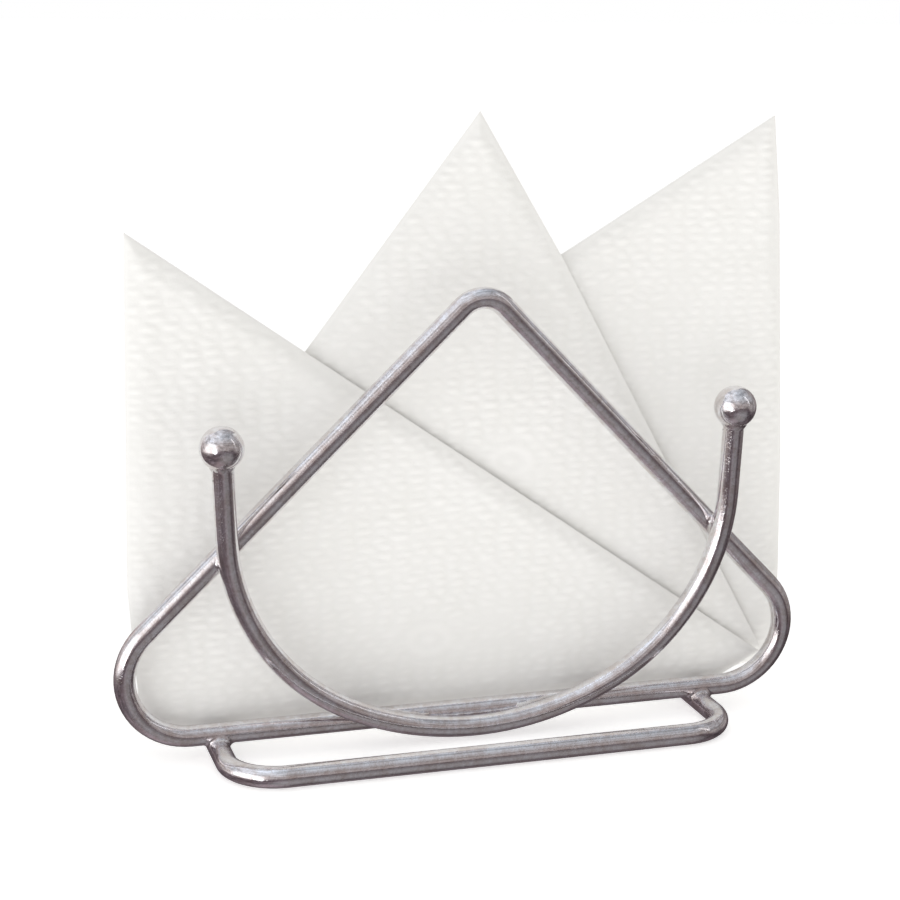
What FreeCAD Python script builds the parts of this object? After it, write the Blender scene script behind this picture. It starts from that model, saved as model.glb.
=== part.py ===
"""Tabletop napkin dispenser: two bent wire panels welded to a wire foot, holding folded napkins.

Millimetres. X runs along the panels, -Y is the front, +Z is up. The origin is on the table,
midway between the two panels. Every piece is one solid, or one group of equal solids, in its own file.
"""
import FreeCAD, Part
import math
import os
from FreeCAD import Vector

# Stock
WIRE_D = 4.76                # 3/16 in steel wire
BALL_D = 9.525               # 3/8 in steel ball
WIRE_R = WIRE_D / 2

# Layout
PANEL_Y = 11.0               # from the middle of the holder to each panel's bottom rod
REAR_SIZE = 0.9              # the rear panel is a smaller copy of the front one
LEAN_DEG = 5.0               # each panel leans outward, away from the napkins
FOOT_SETDOWN = 1.6           # how far the crossing wires sink into each other at the foot welds
CRADLE_SETDOWN = 0.3         # the same where the cradle wire crosses the triangle
ROD_Z = WIRE_R + WIRE_D - FOOT_SETDOWN

# Triangle loop, in the panel's own plane, measured from the middle of its bottom rod
TRIANGLE_HALF = 98.0         # half the bottom side, to the sharp corner
TRIANGLE_RISE = 99.3         # height of the sharp apex
FOOT_CORNER_R = 14.5
APEX_R = 6.5

# Cradle: a smile-shaped wire in front of the triangle, with a ball on each end
CRADLE_DROP = 2.07           # its lowest point is this far below the bottom rod
CRADLE_R_LOW = 65.8          # bend radius at the bottom
CRADLE_TURN_LOW = 28.5       # direction of the wire, in degrees, where the tighter bend takes over
CRADLE_R_SIDE = 50.4
CRADLE_TURN_SIDE = 88.5      # direction of the straight arm
CRADLE_ARM = 20.1            # straight arm, up to the ball's centre
CRADLE_SHIFT = 0.9           # the cradle is welded this far to the right
CRADLE_TILT = 1.5            # and turned by this many degrees in its plane
CRADLE_OUT = WIRE_D - CRADLE_SETDOWN

# Foot: a rounded rectangle of wire that lies on the table, under both bottom rods
FOOT_HALF_X = 57.5
FOOT_REACH = 20.7            # how far it stands out in front of the panel's rod
FOOT_R = 11.2
FOOT_HALF_Y = PANEL_Y + FOOT_REACH

# Weld metal
CROSS_BEAD_R = 2.65
FOOT_BEAD_R = 2.7
COLLAR_R = 2.0               # ring of weld metal under each ball: radius to its middle
COLLAR_THICK_R = 0.85
BALL_SOCKET = 2.5            # how far the wire's end goes into the ball

# Folded napkins, front to back
NAPKIN_T = 2.5
NAPKIN_GAP = 0.35            # clearance to the rod and between napkins
NAPKIN_FOOT = 5.2            # height of their lower edges, just clear of the foot's side wires
NAPKIN_OUTLINES = {          # corners (x, z) of each folded napkin as it stands in the holder
    "left_napkin": [(-74.8, 116.3), (-76.2, 39.0), (-73.7, NAPKIN_FOOT), (64.0, NAPKIN_FOOT),
                    (75.6, 11.3)],
    "centre_napkin": [(3.7, 140.6), (-66.0, 49.4), (-62.0, NAPKIN_FOOT), (66.0, NAPKIN_FOOT),
                      (77.2, 11.3), (23.4, 108.3)],
    "right_napkin": [(75.9, 139.0), (-60.0, 58.0), (-62.0, NAPKIN_FOOT), (70.0, NAPKIN_FOOT),
                     (80.6, 7.6), (82.35, 17.5), (82.4, 29.9), (81.5, 60.0), (78.3, 116.0)],
}


def save(name, shapes):
    shape = shapes[0] if len(shapes) == 1 else Part.makeCompound(shapes)
    shape.exportStep(os.path.join("parts", name + ".step"))


def corner_arc(before, corner, after, radius):
    """The tangent arc that rounds a corner, as (start, middle, end)."""
    to_before = (before - corner).normalize()
    to_after = (after - corner).normalize()
    half = to_before.getAngle(to_after) / 2
    reach = radius / math.tan(half)
    inward = (to_before + to_after).normalize()
    centre = corner + inward * (radius / math.sin(half))
    return corner + to_before * reach, centre - inward * radius, corner + to_after * reach


def rounded_loop(corners, radii):
    """A closed path of straight runs and tangent arcs. It starts in the middle of its last side."""
    count = len(corners)
    arcs = [corner_arc(corners[i - 1], corners[i], corners[(i + 1) % count], radii[i])
            for i in range(count)]
    start = (arcs[-1][2] + arcs[0][0]) * 0.5
    edges, here = [], start
    for first, middle, last in arcs:
        edges.append(Part.LineSegment(here, first).toShape())
        edges.append(Part.Arc(first, middle, last).toShape())
        here = last
    edges.append(Part.LineSegment(here, start).toShape())
    return Part.Wire(edges)


def round_bar(path, start, direction):
    """A round wire of the stock diameter swept along a path."""
    section = Part.Wire(Part.makeCircle(WIRE_R, start, direction))
    return path.makePipeShell([section], True, True)


def triangle_path(size):
    half, rise = TRIANGLE_HALF * size, TRIANGLE_RISE * size
    corners = [Vector(half, 0, 0), Vector(0, 0, rise), Vector(-half, 0, 0)]
    return rounded_loop(corners, [r * size for r in (FOOT_CORNER_R, APEX_R, FOOT_CORNER_R)])


def cradle_half(size):
    """The right half of the cradle: where its bends meet, the side bend's middle, where the arm
    starts, the ball's centre, and the arm's direction."""
    low_centre = Vector(0, 0, -CRADLE_DROP + CRADLE_R_LOW * size)

    def on_arc(centre, radius, turn):
        angle = math.radians(turn)
        return centre + Vector(radius * math.sin(angle), 0, -radius * math.cos(angle))

    low_end = on_arc(low_centre, CRADLE_R_LOW * size, CRADLE_TURN_LOW)
    side_r = CRADLE_R_SIDE * size
    side_centre = low_end + (low_centre - low_end).normalize() * side_r
    side_middle = on_arc(side_centre, side_r, (CRADLE_TURN_LOW + CRADLE_TURN_SIDE) / 2)
    side_end = on_arc(side_centre, side_r, CRADLE_TURN_SIDE)
    angle = math.radians(CRADLE_TURN_SIDE)
    up_the_arm = Vector(math.cos(angle), 0, math.sin(angle))
    return low_end, side_middle, side_end, side_end + up_the_arm * CRADLE_ARM * size, up_the_arm


def mirrored(point):
    return Vector(-point.x, point.y, point.z)


def place_cradle(shape, size):
    """Turns and shifts the symmetric cradle to where it is welded, in the triangle's plane."""
    pivot = Vector(0, 0, -CRADLE_DROP + CRADLE_R_LOW * size)
    turned = shape.copy()
    turned.rotate(pivot, Vector(0, 1, 0), -CRADLE_TILT)
    turned.translate(Vector(CRADLE_SHIFT, 0, 0))
    return turned


def cradle_path(size, end_short):
    """The cradle's centre line, ending short of each ball's centre by end_short."""
    low_end, side_middle, side_end, ball, up_the_arm = cradle_half(size)
    bottom = Vector(0, 0, -CRADLE_DROP)
    tip = ball - up_the_arm * end_short
    edges = [
        Part.LineSegment(mirrored(tip), mirrored(side_end)).toShape(),
        Part.Arc(mirrored(side_end), mirrored(side_middle), mirrored(low_end)).toShape(),
        Part.Arc(mirrored(low_end), bottom, low_end).toShape(),
        Part.Arc(low_end, side_middle, side_end).toShape(),
        Part.LineSegment(side_end, tip).toShape(),
    ]
    return Part.Wire(edges), mirrored(tip), mirrored(up_the_arm) * -1


def ball_with_socket(centre, up_the_arm):
    ball = Part.makeSphere(BALL_D / 2, centre)
    depth = BALL_D / 2 - BALL_SOCKET
    socket = Part.makeCylinder(WIRE_R, BALL_D, centre - up_the_arm * depth, up_the_arm * -1)
    return ball.cut(socket)


def collar(centre, up_the_arm):
    """The ring of weld metal where the arm enters the ball."""
    below = math.sqrt((BALL_D / 2) ** 2 - WIRE_R ** 2)
    return Part.makeTorus(COLLAR_R, COLLAR_THICK_R, centre - up_the_arm * below, up_the_arm)


def crossing_beads(triangle, cradle):
    """A bead of weld metal between the two wires wherever the cradle crosses the triangle."""
    crossings = triangle.section(cradle).Vertexes
    return [Part.makeSphere(CROSS_BEAD_R, v.Point - Vector(0, CRADLE_OUT / 2, 0)) for v in crossings]


def panel(size):
    """All pieces of one panel by name, in the panel's own plane at its bottom rod."""
    triangle = triangle_path(size)
    path, tip, along = cradle_path(size, BALL_D / 2 - BALL_SOCKET)
    whole_path = cradle_path(size, 0)[0]
    _, _, _, right, right_up = cradle_half(size)
    left, left_up = mirrored(right), mirrored(right_up)
    in_cradle_plane = {
        "cradle": [round_bar(path, tip, along)],
        "left_ball": [ball_with_socket(left, left_up)],
        "right_ball": [ball_with_socket(right, right_up)],
        "ball_welds": [collar(left, left_up), collar(right, right_up)],
    }
    parts = {
        "triangle": [round_bar(triangle, triangle.Edges[0].Vertexes[0].Point, Vector(1, 0, 0))],
        "cradle_welds": crossing_beads(triangle, place_cradle(whole_path, size)),
    }
    for name, shapes in in_cradle_plane.items():
        parts[name] = [place_cradle(shape, size) for shape in shapes]
        for shape in parts[name]:
            shape.translate(Vector(0, -CRADLE_OUT, 0))
    return parts


def stand_panel(shape, half_turn):
    """Leans a panel outward on its rod and stands it at the front, or at the back by a half turn."""
    stood = shape.copy()
    stood.rotate(Vector(0, 0, 0), Vector(1, 0, 0), LEAN_DEG)
    stood.translate(Vector(0, -PANEL_Y, ROD_Z))
    if half_turn:
        stood.rotate(Vector(0, 0, 0), Vector(0, 0, 1), 180)
    return stood


def foot():
    corners = [Vector(FOOT_HALF_X, -FOOT_HALF_Y, WIRE_R), Vector(FOOT_HALF_X, FOOT_HALF_Y, WIRE_R),
               Vector(-FOOT_HALF_X, FOOT_HALF_Y, WIRE_R), Vector(-FOOT_HALF_X, -FOOT_HALF_Y, WIRE_R)]
    path = rounded_loop(corners, [FOOT_R] * 4)
    return round_bar(path, path.Edges[0].Vertexes[0].Point, Vector(1, 0, 0))


def foot_beads():
    height = (WIRE_R + ROD_Z) / 2
    return [Part.makeSphere(FOOT_BEAD_R, Vector(side * FOOT_HALF_X, end * PANEL_Y, height))
            for side in (-1, 1) for end in (-1, 1)]


def napkin(outline, front_y):
    points = [Vector(x, front_y, z) for x, z in outline]
    face = Part.Face(Part.makePolygon(points + points[:1]))
    return face.extrude(Vector(0, NAPKIN_T, 0))


def main():
    os.makedirs("parts", exist_ok=True)
    for name, shapes in panel(1.0).items():
        save("front_" + name, [stand_panel(s, False) for s in shapes])
    turned_about = {"left_ball": "right_ball", "right_ball": "left_ball"}
    for name, shapes in panel(REAR_SIZE).items():
        save("rear_" + turned_about.get(name, name), [stand_panel(s, True) for s in shapes])
    save("base_loop", [foot()])
    save("base_welds", foot_beads())
    front_y = -PANEL_Y + WIRE_R + NAPKIN_GAP
    for name, outline in NAPKIN_OUTLINES.items():
        save(name, [napkin(outline, front_y)])
        front_y += NAPKIN_T + NAPKIN_GAP


main()
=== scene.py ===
"""Looks of the wire napkin dispenser: chromed wires with fused welds, and embossed, folded napkins.

Metres, in the CAD model's frame: X along the panels, -Y to the front, +Z up.
"""
import math
import bpy
import numpy as np
from mathutils import Matrix, Vector
from mathutils.bvhtree import BVHTree


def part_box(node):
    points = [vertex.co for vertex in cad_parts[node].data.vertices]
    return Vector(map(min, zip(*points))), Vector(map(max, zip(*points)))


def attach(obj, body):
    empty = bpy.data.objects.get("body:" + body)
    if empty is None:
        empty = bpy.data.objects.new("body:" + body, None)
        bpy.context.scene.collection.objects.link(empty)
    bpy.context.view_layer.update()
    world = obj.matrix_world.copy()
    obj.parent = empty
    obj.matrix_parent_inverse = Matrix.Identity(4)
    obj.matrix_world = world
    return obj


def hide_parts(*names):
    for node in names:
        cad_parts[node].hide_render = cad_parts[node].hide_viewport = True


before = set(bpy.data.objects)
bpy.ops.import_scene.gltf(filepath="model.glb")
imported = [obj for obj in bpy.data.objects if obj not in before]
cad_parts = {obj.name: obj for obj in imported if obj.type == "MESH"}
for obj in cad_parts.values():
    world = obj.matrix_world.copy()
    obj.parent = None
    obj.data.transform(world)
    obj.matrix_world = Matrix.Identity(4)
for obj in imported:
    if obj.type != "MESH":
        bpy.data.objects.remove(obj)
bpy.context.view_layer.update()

MM = 0.001
FLAT_SIDE = 0.33                     # an opened napkin is square
NOISE_TABLE = 64                     # cells before value_noise repeats
NOISE_OFFSET = (31.3, 17.7)          # keeps the object's middle off the noise's own grid lines


# ---------------------------------------------------------------- meshes

def new_piece(name, points, faces, material, smooth=True):
    """An object of its own mesh, linked to the scene."""
    mesh = bpy.data.meshes.new(name)
    mesh.from_pydata([tuple(p) for p in points], [], faces)
    mesh.validate()
    if smooth:
        mesh.shade_smooth()
    mesh.materials.append(material)
    piece = bpy.data.objects.new(name, mesh)
    bpy.context.scene.collection.objects.link(piece)
    return piece


def smoothstep(t):
    """Eases from 0 to 1 as t does, and stays there beyond."""
    t = np.clip(t, 0.0, 1.0)
    return t * t * (3 - 2 * t)


def value_noise(u, v, size, seed):
    """Smooth noise from -1 to 1 over points u, v, with lumps of about the given size."""
    table = np.random.default_rng(seed).uniform(-1, 1, (NOISE_TABLE, NOISE_TABLE))
    x, y = u / size + NOISE_OFFSET[0], v / size + NOISE_OFFSET[1]
    i, j = np.floor(x).astype(int), np.floor(y).astype(int)
    a, b = smoothstep(x - i), smoothstep(y - j)

    def at(di, dj):
        return table[(i + di) % NOISE_TABLE, (j + dj) % NOISE_TABLE]

    low = at(0, 0) * (1 - a) + at(1, 0) * a
    high = at(0, 1) * (1 - a) + at(1, 1) * a
    return low * (1 - b) + high * b


# ---------------------------------------------------------------- welds

WELD_STEP = 0.3 * MM                 # grid on which a weld's surface is found
WELD_SINK = 0.045 * MM               # away from the joint the weld lies this deep inside the wires
LUMP_SIZE = 1.1 * MM                 # of the lumps on a weld's skin
SAME_POINT = 0.002 * MM              # mesh points nearer than this are one
SKEW = 0.7                           # mixes the third axis into a noise over two
WIRE_WELD = (1.7 * MM, 0.12 * MM)    # between two wires: how far it fills the corner, lump height
BALL_WELD = (1.0 * MM, 0.45 * MM)    # between a wire and its ball
CRADLE_REACH = (6.5 * MM, 4.2 * MM, 5.0 * MM)    # half the space each kind of weld may fill
BALL_REACH = (4.2 * MM, 4.2 * MM, 4.2 * MM)
FOOT_REACH = (5.2 * MM, 5.2 * MM, 4.8 * MM)

node_trees = {}


def depth_field(node, points):
    """Signed distance from each point to a CAD node's surface, negative inside."""
    if node not in node_trees:
        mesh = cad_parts[node].data
        node_trees[node] = BVHTree.FromPolygons([v.co for v in mesh.vertices],
                                                [tuple(p.vertices) for p in mesh.polygons])
    tree = node_trees[node]
    out = np.empty(len(points))
    for k, p in enumerate(points):
        place, normal, _, far = tree.find_nearest(Vector(p))
        out[k] = -far if (Vector(p) - place).dot(normal) < 0 else far
    return out


def surface_of(values, origin, step):
    """The zero surface of a field on a grid, as points and quads: one point per crossed cell."""
    inside = values < 0
    cells = tuple(n - 1 for n in values.shape)
    total, count = np.zeros(cells + (3,)), np.zeros(cells)
    corner = {}
    for d in np.ndindex(2, 2, 2):
        corner[d] = tuple(slice(d[k], d[k] + cells[k]) for k in range(3))
    for axis in range(3):
        for d in np.ndindex(2, 2, 2):
            if d[axis]:
                continue
            e = tuple(1 if k == axis else d[k] for k in range(3))
            a, b = values[corner[d]], values[corner[e]]
            crossed = (a < 0) != (b < 0)
            t = np.where(crossed, a / np.where(crossed, a - b, 1), 0)
            for k in range(3):
                total[..., k] += crossed * (d[k] + (t if k == axis else 0))
            count += crossed
    used = count > 0
    index = np.full(cells, -1)
    index[used] = np.arange(used.sum())
    where = np.argwhere(used)
    points = origin + (where + total[used] / count[used][:, None]) * step
    faces = []
    for axis in range(3):
        u, v = (axis + 1) % 3, (axis + 2) % 3
        here = np.swapaxes(inside, 0, axis)
        change = np.argwhere(here[:-1] != here[1:])
        for raw in change:
            g = raw.copy()
            g[[0, axis]] = g[[axis, 0]]
            if g[u] < 1 or g[v] < 1 or g[u] >= cells[u] or g[v] >= cells[v]:
                continue
            ring = []
            for du, dv in ((0, 0), (-1, 0), (-1, -1), (0, -1)):
                c = g.copy()
                c[u] += du
                c[v] += dv
                ring.append(int(index[tuple(c)]))
            faces.append(ring if inside[tuple(g)] else ring[::-1])
    return points, faces


def islands(node):
    """The middle of each separate solid of a CAD node."""
    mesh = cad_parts[node].data
    points = np.array([v.co for v in mesh.vertices])
    keys = np.round(points / SAME_POINT).astype(int)
    _, same = np.unique(keys, axis=0, return_inverse=True)
    same = same.ravel()
    parent = list(range(same.max() + 1))

    def root(i):
        while parent[i] != i:
            parent[i] = parent[parent[i]]
            i = parent[i]
        return i

    for polygon in mesh.polygons:
        first = root(same[polygon.vertices[0]])
        for v in polygon.vertices:
            parent[root(same[v])] = first
    groups = {}
    for k, s in enumerate(same):
        groups.setdefault(root(s), []).append(k)
    return [(points[g].min(0) + points[g].max(0)) / 2 for g in groups.values()]


def fused_weld(centre, one, other, reach, blend, lump, seed):
    """Points and faces of the weld metal where two CAD nodes meet: their smooth union, seen only
    near the joint, with a lumpy skin."""
    half = np.array(reach)
    counts = np.ceil(2 * half / WELD_STEP).astype(int) + 1
    origin = centre - half
    grid = np.stack(np.meshgrid(*[np.arange(n) for n in counts], indexing="ij"), -1).reshape(-1, 3)
    points = origin + grid * WELD_STEP
    a, b = depth_field(one, points), depth_field(other, points)
    overlap = np.maximum(blend - np.abs(a - b), 0) / blend
    field = np.minimum(a, b) - overlap ** 2 * blend / 4 + WELD_SINK
    u, v = points[:, 0] + points[:, 1] * SKEW, points[:, 2] - points[:, 1] * SKEW
    field -= overlap * lump * value_noise(u, v, LUMP_SIZE, seed)
    edge = np.linalg.norm((points - centre) / (half - WELD_STEP), axis=1) - 1
    field = np.maximum(field, edge * half.min())
    return surface_of(field.reshape(counts), origin, WELD_STEP)


def relax(points, faces, rounds):
    """Laplacian smoothing of a mesh of quads, half way to each point's neighbours per round."""
    quads = np.array(faces)
    for _ in range(rounds):
        total, count = np.zeros_like(points), np.zeros(len(points))
        for k in range(4):
            for m in (1, 3):
                np.add.at(total, quads[:, k], points[quads[:, (k + m) % 4]])
                np.add.at(count, quads[:, k], 1)
        points = points * 0.5 + 0.5 * total / np.maximum(count, 1)[:, None]
    return points


def make_welds(node, pairs, reach, blend, lump, material):
    """One piece for all of a weld node's beads. pairs gives the two nodes joined at a place."""
    all_points, all_faces = [], []
    for k, centre in enumerate(islands(node)):
        one, other = pairs(centre)
        points, faces = fused_weld(centre, one, other, reach, blend, lump, seed=k + len(node))
        points = relax(points, faces, rounds=2)
        start = len(all_points)
        all_points.extend(points)
        all_faces.extend([[i + start for i in f] for f in faces])
    piece = new_piece(node.replace("welds", "fillets"), all_points, all_faces, material)
    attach(piece, "holder")
    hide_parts(node)


# ---------------------------------------------------------------- napkins

LEAF_STEP = 0.5 * MM                 # mesh size of the embossed leaf at the front,
BACK_STEP = 0.8 * MM                 # of the one at the back
INNER_STEP = 6 * MM                  # and of the plain leaves between
PEBBLE = (4.2 * MM, 1.9 * MM)        # the emboss: soft pebbles, wider than they are high
PEBBLE_SCATTER = (0.45, 0.22)        # how far they lie out of row, as a share of their size
PEBBLE_DEPTH = 0.38 * MM             # from their tops to the valleys between them
INNER_SHARE = 0.3                    # the inner leaves start this far into the thickness
EDGE_SQUEEZE = 0.2                   # how much of its thickness a napkin keeps at its edges
EDGE_REACH = 5 * MM                  # over what distance it rounds off
EDGE_SETTLE = 0.3                    # and how far its edges settle back, as a share of the thickness
PLAIN_EDGE = 0.7 * MM                # width of the smooth margin beside the emboss
SCATTER_TABLE = 97                   # pebbles before their scatter repeats
FADE_SIZE = 14 * MM                  # the emboss is stronger and weaker over about this distance
FADE = 0.25                          # by this much
MEDALLION_SIZE = np.array([11 * MM, 7.5 * MM])   # half width and height of the oval ripples
MEDALLION_TURN = 9.5                 # quarter waves from their middle to their edge
MEDALLION_END = 1.15                 # where they have faded out, in half sizes
MEDALLION_HEIGHT = 0.6               # of the ripples, as a share of the pebbles' depth
MEDALLION_CLEAR = 0.85               # how much of the pebbles they displace
WAVE_SIZE = 37 * MM                  # the leaves wave over about this distance
WAVE = 0.1                           # by this share of their distance from the middle
GRID_SHIFT = 0.37                    # of a step, so that no grid line lies on a side
MERGE = 0.0002 * MM                  # clipped corners nearer than this are one
LEAF_INSETS = (0.05, 0.5)            # millimetres by which open leaves end short of the outline
PAIR_FOLD = 0.15 * MM                # how far the small folds stand out
SIDEWAYS = 0.5                       # a side with this much of its normal along X has a fold
FOLD_STEPS = 6                       # facets round a fold
FOLD_SPACING = 1.5 * MM              # and along it
HOLLOW = "hollow"                    # mesh attribute: how deep in the emboss a point lies, 0 to 1, read by the paper's painted shade
HOLLOW_PAINTED_SHADE = 0.055                 # painted shade: how much darker the paper's colour is made at the bottom of the emboss


def outline_of(node):
    """A CAD napkin's outline as (x, z) corners, counterclockwise seen from the front, and its
    front and back."""
    low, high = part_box(node)
    corners = {(round(v.co.x, 6), round(v.co.z, 6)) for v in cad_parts[node].data.vertices}
    points = np.array(sorted(corners))
    middle = points.mean(0)
    turn = np.arctan2(points[:, 1] - middle[1], points[:, 0] - middle[0])
    return points[np.argsort(turn)], low.y, high.y


def sides_of(outline):
    """For each side of an outline: a point on it and its inward normal."""
    along = np.roll(outline, -1, axis=0) - outline
    along /= np.linalg.norm(along, axis=1)[:, None]
    return outline, np.stack([-along[:, 1], along[:, 0]], axis=1)


def inset_outline(outline, insets):
    """The outline with each side moved in by its own amount."""
    places, normals = sides_of(outline)
    moved = places + normals * insets[:, None]
    corners = []
    for k in range(len(outline)):
        rows = np.array([normals[k - 1], normals[k]])
        corners.append(np.linalg.solve(rows, [rows[0] @ moved[k - 1], rows[1] @ moved[k]]))
    return np.array(corners)


def edge_distance(outline, points):
    """Distance from each point inside an outline to its nearest side, negative outside."""
    places, normals = sides_of(outline)
    return np.min([(points - p) @ n for p, n in zip(places, normals)], axis=0)


def clip_cell(cell, places, normals):
    """A convex cell cut by the outline's sides."""
    for p, n in zip(places, normals):
        kept = []
        for k, here in enumerate(cell):
            before = cell[k - 1]
            d0, d1 = (before - p) @ n, (here - p) @ n
            if (d0 >= 0) != (d1 >= 0):
                kept.append(before + (here - before) * (d0 / (d0 - d1)))
            if d1 >= 0:
                kept.append(here)
        cell = kept
        if len(cell) < 3:
            return []
    return cell


def flat_leaf(outline, step):
    """A grid mesh that fills an outline exactly: (x, z) points and faces."""
    places, normals = sides_of(outline)
    low = outline.min(0) - step * GRID_SHIFT
    counts = np.ceil((outline.max(0) - low) / step).astype(int) + 1
    grid = low + np.stack(np.meshgrid(*[np.arange(n) for n in counts], indexing="ij"), -1) * step
    depth = edge_distance(outline, grid.reshape(-1, 2)).reshape(counts)
    inside = depth >= 0
    index = np.full(counts, -1)
    index[inside] = np.arange(inside.sum())
    ring = ((0, 0), (1, 0), (1, 1), (0, 1))
    corner = [tuple(slice(d, d + n - 1) for d, n in zip(shift, counts)) for shift in ring]
    whole = np.all([inside[c] for c in corner], axis=0)
    near = np.any([depth[c] > -2 * step for c in corner], axis=0)
    faces = np.stack([index[c][whole] for c in corner], axis=1).tolist()
    points = list(grid[inside])
    numbers = {}
    for i, j in np.argwhere(near & ~whole):
        cell = [grid[i + di, j + dj] for di, dj in ring]
        for (di, dj), p in zip(ring, cell):
            if inside[i + di, j + dj]:
                numbers[tuple(np.round(p / MERGE))] = int(index[i + di, j + dj])
        found = []
        for p in clip_cell(cell, places, normals):
            key = tuple(np.round(p / MERGE))
            if key not in numbers:
                numbers[key] = len(points)
                points.append(p)
            if numbers[key] not in found:
                found.append(numbers[key])
        if len(found) >= 3:
            faces.append(found)
    return np.array(points), faces


def pebbles(points, seed):
    """Height from 0 to 1 of raised pebbles with narrow valleys between them."""
    q = points / np.array(PEBBLE)
    cell = np.floor(q).astype(int)
    table = (SCATTER_TABLE, SCATTER_TABLE, 2)
    shifts = np.random.default_rng(seed).uniform(-1, 1, table) * PEBBLE_SCATTER
    nearest = np.full(len(q), np.inf)
    second = np.full(len(q), np.inf)
    for d in np.ndindex(3, 3):
        c = cell + np.array(d) - 1
        shift = shifts[c[:, 0] % SCATTER_TABLE, c[:, 1] % SCATTER_TABLE]
        far = np.linalg.norm(q - (c + 0.5 + shift), axis=1)
        second = np.minimum(second, np.maximum(nearest, far))
        nearest = np.minimum(nearest, far)
    return smoothstep(second - nearest)


def medallion(points, centre):
    """Height from 0 to 1 of concentric oval ripples, and how strong they are, fading outward."""
    q = (points - centre) / MEDALLION_SIZE
    r = np.sqrt(q[:, 0] ** 2 + q[:, 1] ** 2)
    fade = smoothstep(MEDALLION_END - r)
    return 0.5 + 0.5 * np.cos(r * MEDALLION_TURN * math.pi / 2), fade


def relief(points, seed, motif):
    """The embossed height from 0 to 1 at each point of a leaf."""
    strength = 1 - FADE + FADE * value_noise(points[:, 0], points[:, 1], FADE_SIZE, seed + 5)
    rings, fade = medallion(points, motif)
    height = pebbles(points, seed) * strength
    return height * (1 - MEDALLION_CLEAR * fade) + rings * MEDALLION_HEIGHT * fade


def leaf_y(points, outline, front, back, share, seed):
    """Depth of a leaf: share runs from 0 at the front of the napkin to 1 at its back, and the
    napkin thins towards its edges, which settle back against what is behind."""
    middle = (front + back) / 2
    away = np.clip(1 - edge_distance(outline, points) / EDGE_REACH, 0, 1)
    keep = 1 - (1 - EDGE_SQUEEZE) * away ** 2
    wave = 1 - WAVE + WAVE * value_noise(points[:, 0], points[:, 1], WAVE_SIZE, seed)
    settled = (back - front) * EDGE_SETTLE * away ** 2
    return middle + (front - middle) * (1 - 2 * share) * keep * wave + settled


def leaf_share(leaf, leaves):
    """Where a leaf lies in the thickness: the outer two at its faces, the others evenly between."""
    if leaf in (0, leaves - 1):
        return leaf / (leaves - 1)
    return INNER_SHARE + (1 - 2 * INNER_SHARE) * (leaf - 1) / (leaves - 3)


def fold_strip(start, end, outward, reach, one_y, other_y):
    """The bent paper that joins two leaves along a side, from start to end: a half round that
    stands out by at most reach. one_y and other_y give the leaves' depths at (x, z) points."""
    count = max(2, round(np.linalg.norm(end - start) / FOLD_SPACING))
    line = start + np.linspace(0, 1, count)[:, None] * (end - start)
    near, far = one_y(line), other_y(line)
    radius = (far - near) / 2
    points = []
    for turn in np.linspace(0, math.pi, FOLD_STEPS + 1):
        out = line + outward * (np.minimum(radius, reach) * math.sin(turn))[:, None]
        y = near + radius * (1 - math.cos(turn))
        points.extend(np.stack([out[:, 0], y, out[:, 1]], axis=1))
    faces = [[k * count + i, k * count + i + 1, (k + 1) * count + i + 1, (k + 1) * count + i]
             for k in range(FOLD_STEPS) for i in range(count - 1)]
    return points, faces


def fold_plan(normals, leaves, thickness, rng):
    """How the leaves end at each side of the outline. The right-hand sides are the main fold,
    round which the leaves nest. At the left-hand sides they are folded in pairs, and the other
    sides are open. Gives each leaf's inset at each side, and the folds (side, leaf, leaf, reach)."""
    insets = rng.uniform(*LEAF_INSETS, (leaves, len(normals))) * MM
    insets[0] = LEAF_INSETS[0] * MM
    folds = []
    for side, inward in enumerate(normals):
        if inward[0] < -SIDEWAYS:
            insets[:, side] = thickness / 2 * EDGE_SQUEEZE
            folds += [(side, k, leaves - 1 - k, insets[0, side]) for k in range(leaves // 2)]
        elif inward[0] > SIDEWAYS:
            for k in range(0, leaves, 2):
                insets[k, side] += PAIR_FOLD
                insets[k + 1, side] = insets[k, side]
                folds.append((side, k, k + 1, PAIR_FOLD))
    return insets, folds


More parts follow.
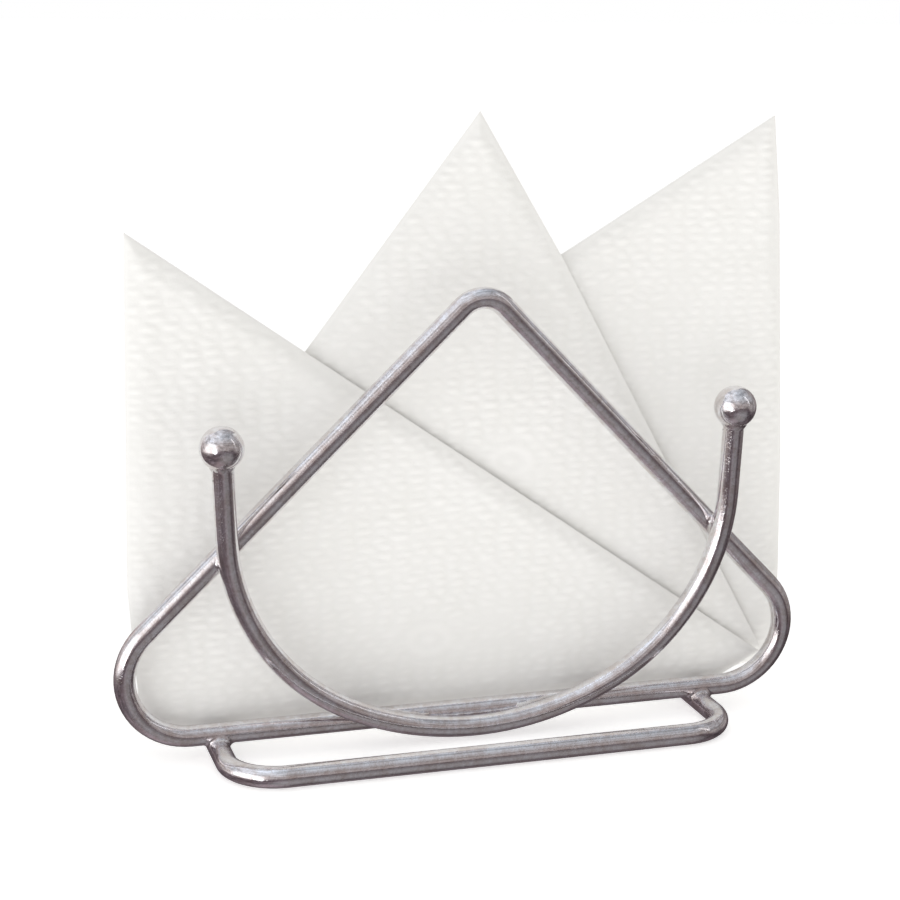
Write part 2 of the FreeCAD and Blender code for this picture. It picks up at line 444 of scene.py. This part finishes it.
def make_napkin(node, motif, seed, material):
    """One sheet of tissue folded into a stack of leaves, its outer two embossed. motif is the
    (x, z) of the medallion's middle."""
    outline, front, back = outline_of(node)
    normals = sides_of(outline)[1]
    x, z = outline[:, 0], outline[:, 1]
    area = 0.5 * abs(np.sum(x * np.roll(z, -1) - z * np.roll(x, -1)))
    leaves = 2 * round(FLAT_SIDE ** 2 / area / 2)
    insets, folds = fold_plan(normals, leaves, back - front, np.random.default_rng(seed))
    ends = [inset_outline(outline, leaf_insets) for leaf_insets in insets]
    shares = [leaf_share(leaf, leaves) for leaf in range(leaves)]
    points, faces, hollows = [], [], []

    def keep(new_points, new_faces, new_hollows=None):
        start = len(points)
        points.extend(new_points)
        hollows.extend([0.5] * len(new_points) if new_hollows is None else new_hollows)
        faces.extend([[i + start for i in f] for f in new_faces])

    def depth_of(leaf, flat):
        y = leaf_y(flat, outline, front, back, shares[leaf], seed)
        if leaf in (0, leaves - 1):
            inward = 1 if leaf == 0 else -1
            y = y + inward * PEBBLE_DEPTH * hollow_of(leaf, flat)
        return y

    def hollow_of(leaf, flat):
        """How deep in the emboss each point lies, from 0 to 1; halfway where there is none."""
        if leaf not in (0, leaves - 1):
            return np.full(len(flat), 0.5)
        embossed = smoothstep((edge_distance(outline, flat) - PLAIN_EDGE) / PLAIN_EDGE)
        return 0.5 + embossed * (0.5 - relief(flat, seed + leaf, motif))

    for leaf in range(leaves):
        step = {0: LEAF_STEP, leaves - 1: BACK_STEP}.get(leaf, INNER_STEP)
        flat, leaf_faces = flat_leaf(ends[leaf], step)
        keep(np.stack([flat[:, 0], depth_of(leaf, flat), flat[:, 1]], axis=1), leaf_faces,
             hollow_of(leaf, flat))
    for side, one, other, reach in folds:
        keep(*fold_strip(ends[one][side], ends[one][(side + 1) % len(outline)], -normals[side], reach,
                         lambda at: depth_of(one, at), lambda at: depth_of(other, at)))
    piece = new_piece("folded_" + node, points, faces, material)
    # store each point's depth in the emboss, which the paper's painted shade reads
    stored = piece.data.attributes.new(HOLLOW, "FLOAT", "POINT")
    stored.data.foreach_set("value", np.array(hollows, dtype=np.float32))
    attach(piece, node)
    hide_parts(node)


# ---------------------------------------------------------------- materials

WAVES_TO_PITS = 1.6                  # height of the chrome's waves against its pits
PAPER_COLOURS = ((0.925, 0.917, 0.895), (0.95, 0.942, 0.925))
FIBRE_DEPTH = 0.05 * MM


def new_material(name):
    """A material, its node tree and its shader."""
    material = bpy.data.materials.new(name)
    material.use_nodes = True
    tree = material.node_tree
    return material, tree, tree.nodes["Principled BSDF"]


def add(tree, kind, **settings):
    """A node with its properties set, and its inputs from the dictionary inputs."""
    made = tree.nodes.new(kind)
    for key, value in settings.pop("inputs", {}).items():
        made.inputs[key].default_value = value
    for key, value in settings.items():
        setattr(made, key, value)
    return made


def noise(tree, place, scale, detail=2.0, roughness=0.5):
    """Fractal noise from 0 to 1. On the object, scale is about its lumps per metre."""
    made = add(tree, "ShaderNodeTexNoise",
               inputs={"Scale": scale, "Detail": detail, "Roughness": roughness})
    tree.links.new(place, made.inputs["Vector"])
    return made.outputs["Fac"]


def ranged(tree, value, low, high, to_low, to_high):
    """Maps low..high to to_low..to_high, and holds it there beyond."""
    made = add(tree, "ShaderNodeMapRange", inputs={
        "From Min": low, "From Max": high, "To Min": to_low, "To Max": to_high})
    tree.links.new(value, made.inputs["Value"])
    return made.outputs["Result"]


def mixed(tree, share, one, other):
    """A colour between two, by share."""
    made = add(tree, "ShaderNodeMix", data_type="RGBA")
    made.inputs[6].default_value = (*one, 1)
    made.inputs[7].default_value = (*other, 1)
    tree.links.new(share, made.inputs["Factor"])
    return made.outputs[2]


def joined(tree, operation, one, other):
    """A sum or product of two values; a plain number is given as a float."""
    made = add(tree, "ShaderNodeMath", operation=operation)
    for k, value in enumerate((one, other)):
        if isinstance(value, float):
            made.inputs[k].default_value = value
        else:
            tree.links.new(value, made.inputs[k])
    return made.outputs[0]


def bump(tree, shader, height, depth, strength=1.0):
    """Fine surface relief: height is a value, depth its scale in metres."""
    made = add(tree, "ShaderNodeBump", inputs={"Distance": depth, "Strength": strength})
    tree.links.new(height, made.inputs["Height"])
    tree.links.new(made.outputs["Normal"], shader.inputs["Normal"])


def chrome(name, cool, warm, gloss, pit_depth):
    """Chrome plate: tinted cool to warm, smudged over the gloss range of roughness, slightly
    wavy and finely pitted."""
    material, tree, shader = new_material(name)
    place = add(tree, "ShaderNodeTexCoord").outputs["Object"]
    shader.inputs["Metallic"].default_value = 1.0
    tint = ranged(tree, noise(tree, place, scale=260, detail=6, roughness=0.85), 0.4, 0.6, 0, 1)
    tree.links.new(mixed(tree, tint, cool, warm), shader.inputs["Base Color"])
    smudge = ranged(tree, noise(tree, place, scale=140, detail=5, roughness=0.6), 0.35, 0.7, *gloss)
    tree.links.new(smudge, shader.inputs["Roughness"])
    waves = joined(tree, "MULTIPLY", noise(tree, place, scale=420, detail=1), WAVES_TO_PITS)
    pits = ranged(tree, noise(tree, place, scale=2200), 0.3, 0.45, 0, 1)
    height = joined(tree, "ADD", waves, pits)
    bump(tree, shader, height, pit_depth)
    return material


def paper():
    """Soft tissue paper: warm white, matt, with fine fibres, and painted shade that darkens its
    colour in the bottoms of the emboss.
    """
    material, tree, shader = new_material("napkin_tissue")
    place = add(tree, "ShaderNodeTexCoord").outputs["Object"]
    mottle = ranged(tree, noise(tree, place, scale=90, detail=4, roughness=0.6), 0.3, 0.7, 0, 1)
    colour = mixed(tree, mottle, *PAPER_COLOURS)
    # painted shade: the colour is darkened where the hollow attribute says the emboss is deepest
    hollow = add(tree, "ShaderNodeAttribute", attribute_name=HOLLOW).outputs["Fac"]
    shade = ranged(tree, hollow, 0.0, 1.0, 1.0, 1.0 - HOLLOW_PAINTED_SHADE)
    shaded = add(tree, "ShaderNodeVectorMath", operation="SCALE")
    tree.links.new(colour, shaded.inputs[0])
    tree.links.new(shade, shaded.inputs["Scale"])
    tree.links.new(shaded.outputs[0], shader.inputs["Base Color"])
    rough = ranged(tree, noise(tree, place, scale=1500), 0.3, 0.7, 0.82, 0.97)
    tree.links.new(rough, shader.inputs["Roughness"])
    shader.inputs["Specular IOR Level"].default_value = 0.2
    fibres = noise(tree, place, scale=2400, detail=4, roughness=0.7)
    bump(tree, shader, fibres, FIBRE_DEPTH, strength=0.6)
    return material


# ---------------------------------------------------------------- camera, light and floor

CAMERA_AZIMUTH = -17.07              # degrees: 0 is in front of the object, 90 on its right
CAMERA_ELEVATION = 13.09
CAMERA_ROLL = -0.62
CAMERA_DISTANCE = 431.5 * MM
CAMERA_LENS = 77.98                  # millimetres, on the sensor below
CAMERA_SENSOR = 36
CAMERA_CLIP = (0.01, 100)            # metres
AIM_LEFT = 4.63 * MM                 # it looks at a point left of the front triangle's middle,
AIM_UP = 63.5 * MM                   # above the triangle's bottom
AIM_BEHIND = 23.08 * MM              # and behind the foot's front
FLOOR_HALF = 12.0                    # half the floor's side
FLOOR_GLOW = 0.5                     # keeps the floor white where the light misses it
PATCH_SHAPE = (1.0, 1.0, 3.2)        # the room's patches are wider than high
WINDOW_SILL = (-0.27, -0.19)         # the Z of directions between which the window fades in
WINDOW_HEAD = (0.42, 0.6)            # and out again
WINDOW_GLOW = 0.9
LAMP_GLOW = 3.0
TABLE_GLOW = 0.22


def towards(azimuth, elevation):
    """The unit vector from the object to a place around it, in degrees as for the camera."""
    a, e = math.radians(azimuth), math.radians(elevation)
    return Vector((math.sin(a) * math.cos(e), -math.cos(a) * math.cos(e), math.sin(e)))


def make_camera():
    """The scene's camera. Gives the point that it looks at."""
    low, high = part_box("front_triangle")
    foot_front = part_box("base_loop")[0].y
    aim = Vector(((low.x + high.x) / 2 - AIM_LEFT, foot_front + AIM_BEHIND, low.z + AIM_UP))
    data = bpy.data.cameras.new("camera")
    data.lens = CAMERA_LENS
    data.sensor_width = CAMERA_SENSOR
    data.clip_start, data.clip_end = CAMERA_CLIP
    camera = bpy.data.objects.new("camera", data)
    back = towards(CAMERA_AZIMUTH, CAMERA_ELEVATION)
    roll = Matrix.Rotation(math.radians(-CAMERA_ROLL), 3, "Z").to_quaternion()
    camera.rotation_mode = "QUATERNION"
    camera.rotation_quaternion = (-back).to_track_quat("-Z", "Y") @ roll
    camera.location = aim + back * CAMERA_DISTANCE
    bpy.context.scene.collection.objects.link(camera)
    bpy.context.scene.camera = camera
    return aim


def softbox(name, aim, azimuth, elevation, distance, size, power):
    """A soft rectangular light that faces aim. size is its width and height."""
    data = bpy.data.lights.new(name, "AREA")
    data.shape = "RECTANGLE"
    data.size, data.size_y = size
    data.energy = power
    light = bpy.data.objects.new(name, data)
    away = towards(azimuth, elevation)
    light.location = aim + away * distance
    light.rotation_mode = "QUATERNION"
    light.rotation_quaternion = away.to_track_quat("Z", "Y")
    bpy.context.scene.collection.objects.link(light)


def sun(name, azimuth, elevation, strength, angle, colour=(1, 1, 1)):
    """A distant soft light, angle degrees wide. The chrome doesn't reflect it, but the world's
    own patches of light."""
    data = bpy.data.lights.new(name, "SUN")
    data.color = colour
    data.energy = strength
    data.angle = math.radians(angle)
    light = bpy.data.objects.new(name, data)
    light.rotation_mode = "QUATERNION"
    light.rotation_quaternion = towards(azimuth, elevation).to_track_quat("Z", "Y")
    light.visible_glossy = False
    bpy.context.scene.collection.objects.link(light)


def make_floor():
    """A pale floor that only the camera sees. The world and the low light reach the object
    through it."""
    half = FLOOR_HALF
    material, _, shader = new_material("floor_paint")
    shader.inputs["Base Color"].default_value = (0.95, 0.95, 0.95, 1)
    shader.inputs["Roughness"].default_value = 1.0
    shader.inputs["Specular IOR Level"].default_value = 0.0
    shader.inputs["Emission Color"].default_value = (1, 1, 1, 1)
    shader.inputs["Emission Strength"].default_value = FLOOR_GLOW
    corners = [(-half, -half, 0), (half, -half, 0), (half, half, 0), (-half, half, 0)]
    floor = new_piece("floor", corners, [[0, 1, 2, 3]], material, smooth=False)
    floor.visible_glossy = False
    floor.visible_diffuse = False
    floor.visible_shadow = False


def ramp(tree, value, stops):
    """A colour by a value from 0 to 1, through stops of (value, colour)."""
    made = add(tree, "ShaderNodeValToRGB")
    marks = made.color_ramp.elements
    while len(marks) < len(stops):
        marks.new(0.5)
    for mark, (place, colour) in zip(marks, stops):
        mark.position = place
        mark.color = (*colour, 1)
    tree.links.new(value, made.inputs["Fac"])
    return made.outputs["Color"]


def facing(tree, place, azimuth, elevation, edge, core):
    """A round patch of light in the world: 1 within core degrees of a direction, 0 past edge."""
    made = add(tree, "ShaderNodeVectorMath", operation="DOT_PRODUCT")
    tree.links.new(place, made.inputs[0])
    made.inputs[1].default_value = towards(azimuth, elevation)
    return ranged(tree, made.outputs["Value"], math.cos(math.radians(edge)),
                  math.cos(math.radians(core)), 0, 1)


def grey(value):
    return (value, value, value)


def room_reflection(tree, place, split, across):
    """What the chrome reflects: dark below, lighter bands above a horizon that drops at the sides,
    all broken up by soft patches and brighter on the left."""
    horizon = ramp(tree, across, [
        (0.0, grey(0.36)), (0.11, grey(0.24)), (0.24, grey(0.0)), (0.88, grey(0.0)),
        (0.97, grey(0.3))])
    risen = ranged(tree, joined(tree, "ADD", split.outputs["Z"], horizon), -1, 1, 0, 1)
    bands = ramp(tree, risen, [
        (0.0, (0.24, 0.20, 0.215)), (0.16, (0.115, 0.09, 0.10)), (0.38, (0.12, 0.093, 0.103)),
        (0.47, (0.18, 0.145, 0.155)), (0.52, (0.42, 0.37, 0.365)), (0.70, (0.50, 0.455, 0.45)),
        (0.82, (0.58, 0.57, 0.59)), (1.0, (0.70, 0.74, 0.80))])
    side = ramp(tree, across, [
        (0.0, grey(1.3)), (0.35, grey(1.25)), (0.6, grey(0.8)), (1.0, grey(0.7))])
    flat = add(tree, "ShaderNodeMapping", inputs={"Scale": PATCH_SHAPE})
    tree.links.new(place, flat.inputs["Vector"])
    patches = ranged(tree, noise(tree, flat.outputs[0], scale=2.6, detail=4, roughness=0.6),
                     0.38, 0.62, 0.55, 1.45)
    room = add(tree, "ShaderNodeBackground")
    tree.links.new(bands, room.inputs["Color"])
    tree.links.new(joined(tree, "MULTIPLY", patches, side), room.inputs["Strength"])
    return room


def lights_reflection(tree, place, split):
    """The bright things that the chrome reflects: a window on the left, a lamp and the table."""
    height = split.outputs["Z"]
    opening = joined(tree, "MULTIPLY", ranged(tree, height, *WINDOW_SILL, 0, 1),
                     ranged(tree, height, *WINDOW_HEAD, 1, 0))
    window = joined(tree, "MULTIPLY",
                    facing(tree, place, azimuth=-67, elevation=0, edge=40, core=24), opening)
    lamp = facing(tree, place, azimuth=-44, elevation=-7, edge=10, core=6)
    table = facing(tree, place, azimuth=18, elevation=-42, edge=38, core=8)
    glow = joined(tree, "ADD", joined(tree, "MULTIPLY", window, WINDOW_GLOW),
                  joined(tree, "MULTIPLY", lamp, LAMP_GLOW))
    glow = joined(tree, "ADD", glow, joined(tree, "MULTIPLY", table, TABLE_GLOW))
    lights = add(tree, "ShaderNodeBackground", inputs={"Color": (1, 1, 1, 1)})
    tree.links.new(glow, lights.inputs["Strength"])
    return lights


def make_world():
    """The world by kind of ray: the chrome reflects a made-up room and its lights, the camera
    sees white past the floor, and all else gets a soft pale light, strongest from below."""
    world = bpy.data.worlds.new("studio")
    bpy.context.scene.world = world
    world.use_nodes = True
    tree = world.node_tree
    tree.nodes.clear()
    place = add(tree, "ShaderNodeTexCoord").outputs["Generated"]
    split = add(tree, "ShaderNodeSeparateXYZ")
    tree.links.new(place, split.inputs[0])
    across = ranged(tree, split.outputs["X"], -1, 1, 0, 1)
    height = ranged(tree, split.outputs["Z"], -1, 1, 0, 1)
    reflected = add(tree, "ShaderNodeAddShader")
    tree.links.new(room_reflection(tree, place, split, across).outputs[0], reflected.inputs[0])
    tree.links.new(lights_reflection(tree, place, split).outputs[0], reflected.inputs[1])
    bounce = ramp(tree, height, [
        (0.0, (1.24, 1.225, 1.19)), (0.4, (1.10, 1.085, 1.05)), (0.6, (0.61, 0.603, 0.588)),
        (1.0, (0.50, 0.50, 0.49))])
    even = add(tree, "ShaderNodeBackground")
    tree.links.new(bounce, even.inputs["Color"])
    white = add(tree, "ShaderNodeBackground", inputs={"Color": (1, 1, 1, 1)})
    path = add(tree, "ShaderNodeLightPath")
    out = even.outputs[0]
    for ray, seen in (("Is Glossy Ray", reflected), ("Is Camera Ray", white)):
        mix = add(tree, "ShaderNodeMixShader")
        tree.links.new(path.outputs[ray], mix.inputs[0])
        tree.links.new(out, mix.inputs[1])
        tree.links.new(seen.outputs[0], mix.inputs[2])
        out = mix.outputs[0]
    tree.links.new(out, add(tree, "ShaderNodeOutputWorld").inputs["Surface"])


# ---------------------------------------------------------------- the scene

wire_chrome = chrome("wire_chrome", cool=(0.82, 0.82, 0.85), warm=(0.66, 0.61, 0.60),
                     gloss=(0.08, 0.2), pit_depth=0.010 * MM)
weld_chrome = chrome("weld_chrome", cool=(0.76, 0.76, 0.79), warm=(0.56, 0.51, 0.50),
                     gloss=(0.12, 0.28), pit_depth=0.014 * MM)
tissue = paper()

for node_name, node_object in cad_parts.items():
    if "napkin" not in node_name and "welds" not in node_name:
        node_object.data.materials.clear()
        node_object.data.materials.append(wire_chrome)

for panel in ("front", "rear"):
    make_welds(panel + "_cradle_welds", lambda c, p=panel: (p + "_triangle", p + "_cradle"),
               CRADLE_REACH, *WIRE_WELD, weld_chrome)
    make_welds(panel + "_ball_welds",
               lambda c, p=panel: (p + "_cradle", p + ("_left_ball" if c[0] < 0 else "_right_ball")),
               BALL_REACH, *BALL_WELD, weld_chrome)
make_welds("base_welds", lambda c: ("base_loop", "front_triangle" if c[1] < 0 else "rear_triangle"),
           FOOT_REACH, *WIRE_WELD, weld_chrome)

make_napkin("left_napkin", motif=np.array([-8 * MM, 22 * MM]), seed=11, material=tissue)
make_napkin("centre_napkin", motif=np.array([12 * MM, 62 * MM]), seed=23, material=tissue)
make_napkin("right_napkin", motif=np.array([40 * MM, 48 * MM]), seed=37, material=tissue)

aim_point = make_camera()
make_floor()
make_world()
sun("low_light", azimuth=-46, elevation=-18, strength=0.76, angle=80, colour=(0.96, 0.98, 1.04))
sun("top_light", azimuth=-20, elevation=70, strength=0.3, angle=60)
softbox("rim_light", aim_point, azimuth=62, elevation=28, distance=0.8, size=(0.05, 0.6), power=0.12)
bpy.context.scene.view_settings.view_transform = "Standard"
